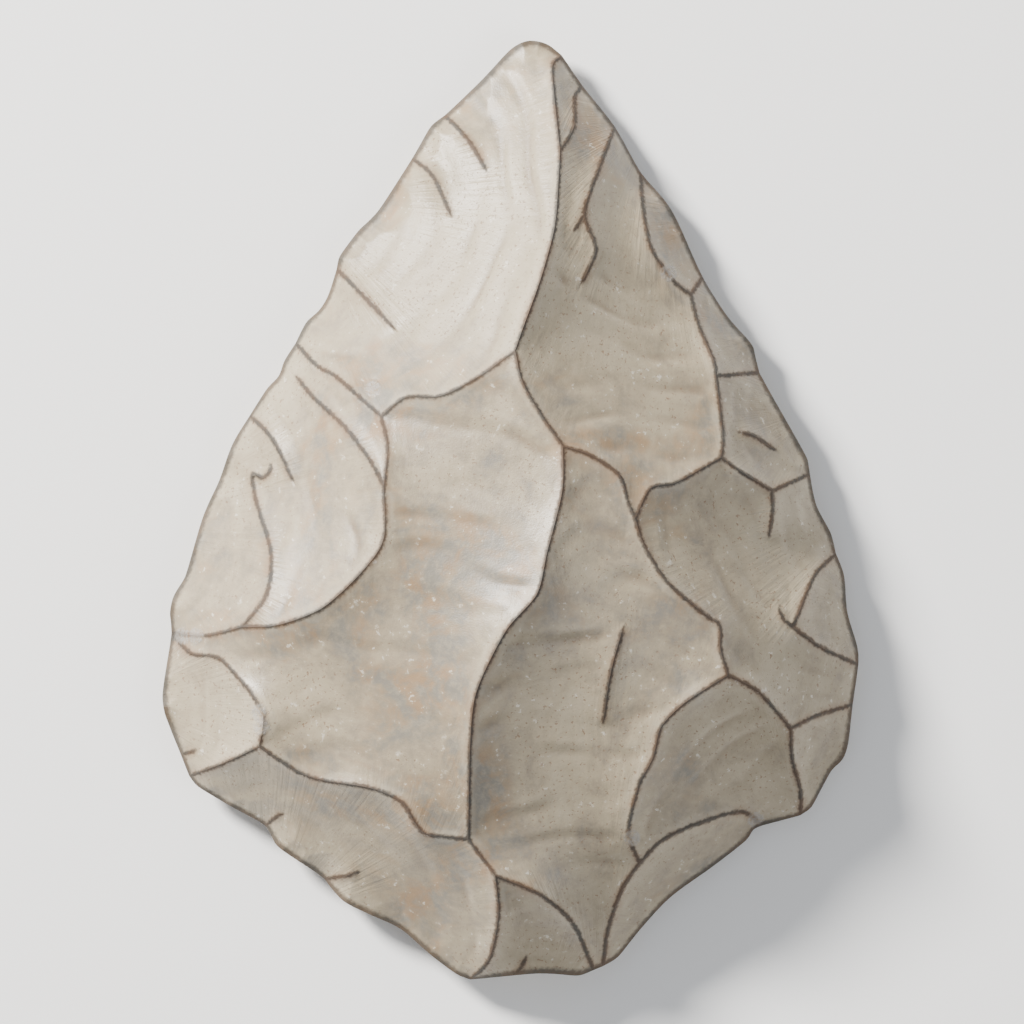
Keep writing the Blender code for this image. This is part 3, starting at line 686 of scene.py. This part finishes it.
# Waves, and distances from a ridge or the rim, are in millimetres here
# A pair without a note says where a mask starts and where it is full
flintFinish = dict(
    pale=(0.375, 0.316, 0.220),
    cream=(0.325, 0.268, 0.18),
    warmGrey=(0.25, 0.206, 0.145),
    coldGrey=(0.195, 0.176, 0.142),
    # a soil brown laid into the hollows, partly soil and partly painted shade that darkens them
    earth=(0.13, 0.098, 0.062),
    # a pale chalky patina laid on the raised places, partly patina and partly a painted highlight
    chalk=(0.455, 0.395, 0.290),
    ochre=(0.28, 0.14, 0.042),
    rust=(0.15, 0.062, 0.020),
    darkFlint=(0.016, 0.012, 0.009),
    wornBrown=(0.050, 0.026, 0.012),
    frosted=(0.30, 0.29, 0.27),
    fossil=(0.66, 0.62, 0.53),
    clouds=dict(  # the wave, detail, roughness and distortion of each noise
        broad=(17, 4, 0.62, 0.8),
        middle=(3.1, 5, 0.66, 0.4),
        fine=(0.8, 3, 0.65, 0.0),
        speckle=(0.34, 2, 0.6, 0.0),
        ragged=(0.42, 2, 0.6, 0.0),
        splinter=(1.0, 2, 0.55, 0.0),
        grain=(0.17, 2, 0.6, 0.0),
    ),
    noiseMean=0.5,
    mottling=(0.60, 0.40, 0.03),  # shares of the broad noise, the middle one and each scar's own tone
    patina=((0.39, "coldGrey"), (0.45, "warmGrey"), (0.52, "cream"), (0.61, "pale")),  # along the mottling
    layers=(  # name, colour, strength, and the masks that say where it lies
        ("bloom", "pale", 0.35, dict(fine=(0.42, 0.70))),
        ("ironStain", "ochre", 0.5, dict(broad=(0.50, 0.36), middle=(0.42, 0.66))),
        # painted shade: the hollows are darkened with soil brown, partly for soil and partly for the shade
        # that falls in them
        ("earthInHollows", "earth", 0.42, dict(hollow=(0.0, 0.8))),
        # painted highlight: the raised places are lightened with pale patina, partly for patina and partly
        # for the light that catches them
        ("chalkOnHeights", "chalk", 0.38, dict(raised=(0.04, 0.7))),
        ("rustInHollows", "rust", 0.30, dict(hollow=(0.10, 0.9), fine=(0.36, 0.6))),
        ("fossilFlecks", "fossil", 0.6, dict(fine=(0.63, 0.67), middle=(0.46, 0.60))),
        ("pits", "rust", 0.55, dict(speckle=(0.63, 0.67), broad=(0.42, 0.56))),
    ),
    fray=(0.36, 0.18),  # how far the ragged and the fine noise fray a worn line
    fadeThins=0.2,  # by how much a line is thinner where it has died out
    halo=(0.0, 0.95),  # the stain beside a ridge, from where it starts to fade
    haloPatches=(0.32, 0.62),
    haloStrength=0.55,
    crushed=(0.15, 0.6),
    wornLine=(0.09, 0.39),
    lineFade=(0.0, 0.4),
    crushedHides=0.6,  # how much of the line a crushed place takes away
    wornRim=(0.30, 0.95),
    rimFray=1.3,
    rimStrength=0.94,
    wornStrength=0.9,
    brownPatches=(0.40, 0.60),
    frostSpecks=(0.34, 0.56),
    frostStrength=0.6,
    fan=(36.0, 0.16, 9.0),  # how fast the splinter lines change round a blow, away from it, from scar to scar
    margin=(0.5, 4.0),  # beside a ridge, where they are strongest, as it fades
    bumps=dict(grain=0.4, splinter=0.5, splinterAtMargin=1.4, fine=0.5, pits=0.5, crushed=2.0),
    bumpStrength=0.8,
    bumpDistance=0.00006,
    rough=0.42,
    roughMottling=0.22,
    wornRough=0.72,
    gloss=0.5,
    refraction=1.54,
)


def opaque(colour):
    return (*colour, 1.0)


def flintMaterial():
    finish = flintFinish
    material = bpy.data.materials.new("patinatedFlint")
    material.use_nodes = True
    shader = material.node_tree.nodes["Principled BSDF"]
    bench = Wire(material.node_tree)
    place = bench.node("ShaderNodeTexCoord", output="Object")
    place = bench.node("ShaderNodeVectorMath", {"operation": "SCALE"}, {0: place, 3: 1 / millimetre})

    def cloud(name, where=place):
        wave, detail, roughness, distortion = finish["clouds"][name]
        return bench.node("ShaderNodeTexNoise", inputs={
            "Vector": where, "Scale": 1 / wave, "Detail": detail, "Roughness": roughness,
            "Distortion": distortion})

    def mask(name):
        return bench.node("ShaderNodeAttribute", {"attribute_name": name}, output="Fac")

    def colour(name):
        return opaque(finish[name])

    ridgeNear, ridgeFade, rimNear = mask("ridgeNear"), mask("ridgeFade"), mask("rimNear")
    hollow, reach, turn, tone = mask("hollow"), mask("reach"), mask("turn"), mask("tone")
    bruised = mask("bruised")
    fields = {name: cloud(name) for name in ("broad", "middle", "fine", "speckle")}
    broad, middle, fine, speckle = fields.values()
    fields.update(hollow=hollow, raised=0 - hollow)

    # The patina, from cold grey through cream to near white, a little different in each scar
    byBroad, byMiddle, byTone = finish["mottling"]
    body = bench.node("ShaderNodeValToRGB", {"stops": [(at, finish[name]) for at, name in finish["patina"]]},
                      {0: broad * byBroad + middle * byMiddle + tone * byTone})

    # Stains in drifts and in the hollows, painted shade of soil brown in the hollows, a painted highlight of
    # paler patina on the heights, pale flecks of fossil and pits
    spread = {}
    for name, tint, strength, steps in finish["layers"]:
        first, *others = [fields[field].step(*ends) for field, ends in steps.items()]
        spread[name] = math.prod(others, start=first)
        body = (spread[name] * strength).over(body, colour(tint))

    # Ridges and edges, where the patina is worn through to the dark stone
    byRagged, byFine = finish["fray"]
    ragged = (cloud("ragged") - finish["noiseMean"]) * byRagged + (fine - finish["noiseMean"]) * byFine
    near = ridgeNear + ragged + (1 - ridgeFade) * finish["fadeThins"]
    halo = (1 - near.step(*finish["halo"])) * ridgeFade * middle.step(*finish["haloPatches"])
    body = (halo * finish["haloStrength"]).over(body, colour("rust"))
    crushed = (bruised + ragged).step(*finish["crushed"])
    line = (1 - near.step(*finish["wornLine"])) * ridgeFade.step(*finish["lineFade"])
    line = line * (1 - crushed * finish["crushedHides"])
    rim = 1 - (rimNear + ragged * finish["rimFray"]).step(*finish["wornRim"])
    worn = bench.maths("MAXIMUM", line, rim * finish["rimStrength"])
    frost = crushed * speckle.step(*finish["frostSpecks"])
    body = (frost * finish["frostStrength"]).over(body, colour("frosted"))
    stone = middle.step(*finish["brownPatches"]).over(colour("darkFlint"), colour("wornBrown"))
    body = (worn * finish["wornStrength"]).over(body, stone)

    # The skin: splinter lines that spread from each blow, grain and pits
    byTurn, byReach, byScar = finish["fan"]
    fan = bench.node("ShaderNodeCombineXYZ", inputs={0: turn * byTurn, 1: reach * byReach, 2: tone * byScar})
    margin = 1 - ridgeNear.step(*finish["margin"])
    bumps = finish["bumps"]
    height = cloud("grain") * bumps["grain"]
    height = height + cloud("splinter", where=fan) * (bumps["splinter"] + margin * bumps["splinterAtMargin"])
    height = height + fine * bumps["fine"] - spread["pits"] * bumps["pits"]
    height = height + crushed * speckle * bumps["crushed"]
    bump = bench.node("ShaderNodeBump", inputs={
        "Strength": finish["bumpStrength"], "Distance": finish["bumpDistance"], "Height": height})
    rough = finish["rough"] + (middle - finish["noiseMean"]) * finish["roughMottling"]
    rough = rough + worn * (finish["wornRough"] - finish["rough"])
    links = material.node_tree.links
    links.new(body.socket, shader.inputs["Base Color"])
    links.new(rough.socket, shader.inputs["Roughness"])
    links.new(bump.socket, shader.inputs["Normal"])
    shader.inputs["Specular IOR Level"].default_value = finish["gloss"]
    shader.inputs["IOR"].default_value = finish["refraction"]
    return material


flake = shapeFlake()
flake.data.materials.clear()
flake.data.materials.append(flintMaterial())
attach(flake, "root")
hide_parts("side_scraper")
print("stage 4: the flint is finished")

studio = dict(
    floorSize=9.0,
    floorDrop=0.02 * millimetre,  # just under the flake
    floorColour=(0.94, 0.937, 0.925),
    floorRough=0.75,
    sky=(0.93, 0.95, 1.0),
    skyStrength=0.47,
    lights=(  # name, place, size, watts and colour
        ("keyLight", (-0.48, 0.40, 0.39), 0.18, 20.0, (1.0, 0.97, 0.925)),
        ("fillLight", (0.55, -0.25, 0.55), 0.50, 2.0, (0.92, 0.96, 1.0)),
    ),
    lens=1100.0,
    sensor=36.0,
    frameWidth=0.10250,  # what the picture's side takes in at the height of the edge, in metres
    edgeHeight=3.4 * millimetre,
    aim=(0.00015, -0.0002),
)


def addFloor():
    bpy.ops.object.select_all(action="DESELECT")
    bpy.ops.mesh.primitive_plane_add(size=studio["floorSize"], location=(0, 0, -studio["floorDrop"]))
    floor = bpy.context.object
    floor.name = "floor"
    material = bpy.data.materials.new("paleFloor")
    material.use_nodes = True
    shader = material.node_tree.nodes["Principled BSDF"]
    shader.inputs["Base Color"].default_value = opaque(studio["floorColour"])
    shader.inputs["Roughness"].default_value = studio["floorRough"]
    floor.data.materials.append(material)


def addSky():
    world = bpy.data.worlds.new("paleRoom")
    world.use_nodes = True
    background = world.node_tree.nodes["Background"]
    background.inputs["Color"].default_value = opaque(studio["sky"])
    background.inputs["Strength"].default_value = studio["skyStrength"]
    bpy.context.scene.world = world


def addLight(name, place, size, watts, colour):
    light = bpy.data.lights.new(name, "AREA")
    light.shape = "DISK"
    light.size = size
    light.energy = watts
    light.color = colour
    lamp = bpy.data.objects.new(name, light)
    bpy.context.scene.collection.objects.link(lamp)
    lamp.location = place
    lamp.rotation_euler = (-Vector(place)).to_track_quat("-Z", "Y").to_euler()
    lamp.visible_camera = False


def addCamera():  # straight above, far off with a long lens, as the drawing looks down
    camera = bpy.data.objects.new("camera", bpy.data.cameras.new("camera"))
    bpy.context.scene.collection.objects.link(camera)
    camera.data.lens = studio["lens"]
    camera.data.sensor_width = studio["sensor"]
    distance = studio["frameWidth"] * camera.data.lens / camera.data.sensor_width
    camera.location = (*studio["aim"], studio["edgeHeight"] + distance)
    bpy.context.scene.camera = camera


addSky()
addFloor()
for light in studio["lights"]:
    addLight(*light)
addCamera()
print("stage 5: floor, lights and camera are set")
